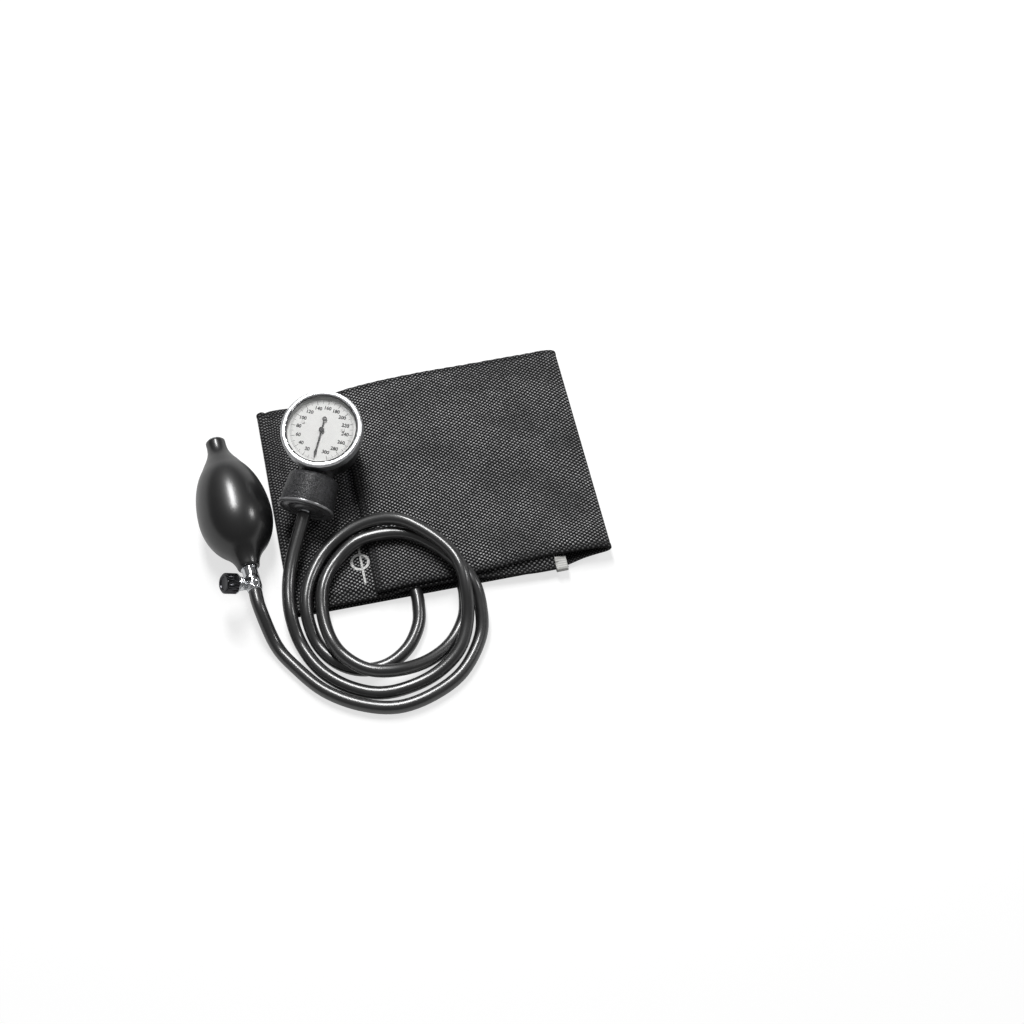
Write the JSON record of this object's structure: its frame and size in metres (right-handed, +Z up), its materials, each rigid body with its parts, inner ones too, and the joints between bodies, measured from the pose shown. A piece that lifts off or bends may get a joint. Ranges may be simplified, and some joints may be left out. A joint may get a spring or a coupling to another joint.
{
  "type": "aneroid sphygmomanometer",
  "caption": "Hand-held blood pressure gauge set: folded arm cuff with bladder, dial gauge on a capsule drum, squeeze bulb with release valve, and two coiled hoses.",
  "frame": {"origin": "middle of the folded cuff's flat underside, on the floor", "axes": "+X along the cuff's near edge, the long way of the folded cuff and away from the bulb; +Y across the cuff, away from the edge that the hoses leave; +Z up from the floor"},
  "size_m": [0.231, 0.2216, 0.0589],
  "materials": {
    "woven_nylon": "black woven nylon with a fine light grain",
    "lining_nylon": "black woven nylon, plain",
    "hook_loop": "black hook and loop tape",
    "tag_tape": "light grey woven tape",
    "bladder_rubber": "matt black rubber",
    "hose_rubber": "smooth black rubber with a soft shine",
    "bulb_rubber": "smooth black rubber with a satin shine",
    "disc_rubber": "red-brown sheet rubber",
    "black_enamel": "black crinkle enamel on metal",
    "chrome": "polished chrome plating",
    "lens_glass": "clear, flat",
    "dial_white": "white enamel with black marks and plain numbers",
    "spacer_plastic": "light grey plastic",
    "pointer_black": "black enamel",
    "brass": "turned brass",
    "steel": "bright steel",
    "knob_black": "black, knurled"
  },
  "bodies": {
    "instrument": {"cuff_outer_cloth": "woven_nylon", "cuff_lining": "lining_nylon", "bladder": "bladder_rubber", "bladder_ports": "bladder_rubber", "hook_patch": "hook_loop", "loop_patch": "hook_loop", "size_tag": "tag_tape", "gauge_hose": "hose_rubber", "bulb_hose": "hose_rubber", "gauge_case": "black_enamel", "bezel": "chrome", "lens": "lens_glass", "spacer_ring": "spacer_plastic", "dial_plate": "dial_white", "dial_screws": "steel", "dial_posts": "brass", "hairspring": "steel", "front_plate": "brass", "back_plate": "brass", "plate_pillars": "brass", "plate_screws": "steel", "capsule": "brass", "drum_cover": "black_enamel", "cover_gasket": "bladder_rubber", "gauge_nipple": "chrome", "capsule_nut": "brass", "back_clip": "steel", "clip_rivets": "steel", "bulb": "bulb_rubber", "inlet_valve_body": "chrome", "inlet_cage": "brass", "valve_body": "chrome", "outlet_seat": "brass", "bonnet": "chrome"},
    "sector": {"sector_gear": "brass", "sector_arbor": "steel"},
    "pointer_shaft": {"pointer": "pointer_black", "pinion_arbor": "brass"},
    "push_pin": {"push_pin": "steel"},
    "valve_pad": {"seat_pad": "bladder_rubber"},
    "release_knob": {"release_screw": "steel", "release_knob": "knob_black", "knob_collar": "chrome"},
    "inlet_flap": {"inlet_disc": "disc_rubber"},
    "outlet_flap": {"outlet_disc": "disc_rubber"}
  },
  "joints": [
    {"name": "capsule_push", "type": "slide", "parent": "instrument", "child": "push_pin", "axis": [0.4253, 0.8721, 0.2419], "range_m": [0, 0.00185], "deforming": ["hairspring", "capsule"]},
    {"name": "sector_turn", "type": "hinge", "parent": "instrument", "child": "sector", "pos_m": [-0.06466, 0.00974, 0.03327], "axis": [-0.1061, -0.2174, 0.9703], "range_deg": [0, 33.62], "stiffness_Nm_per_rad": 0.002, "springref_deg": -11.46},
    {"name": "pointer_turn", "type": "hinge", "parent": "instrument", "child": "pointer_shaft", "pos_m": [-0.05632, 0.01954, 0.03638], "axis": [0.1061, 0.2174, -0.9703], "range_deg": [0, 336.2]},
    {"name": "pad_lift", "type": "slide", "parent": "instrument", "child": "valve_pad", "axis": [-0.8216, -0.1208, 0.5571], "range_m": [0, 0.0009]},
    {"name": "release_turn", "type": "hinge", "parent": "valve_pad", "child": "release_knob", "pos_m": [-0.11982, -0.05827, 0.02306], "axis": [-0.8216, -0.1208, 0.5571], "range_deg": [0, 540.2]},
    {"name": "inlet_lift", "type": "slide", "parent": "instrument", "child": "inlet_flap", "axis": [0.0868, -0.9924, -0.0872], "range_m": [0, 0.0008]},
    {"name": "outlet_lift", "type": "slide", "parent": "instrument", "child": "outlet_flap", "axis": [0.0868, -0.9924, -0.0872], "range_m": [0, 0.0008]}
  ],
  "couplings": [
    {"joint": "sector_turn", "follows": "capsule_push", "rad_per_m": 317.02},
    {"joint": "pointer_turn", "follows": "capsule_push", "rad_per_m": 3170.2},
    {"joint": "release_turn", "follows": "pad_lift", "rad_per_m": 10472}
  ]
}
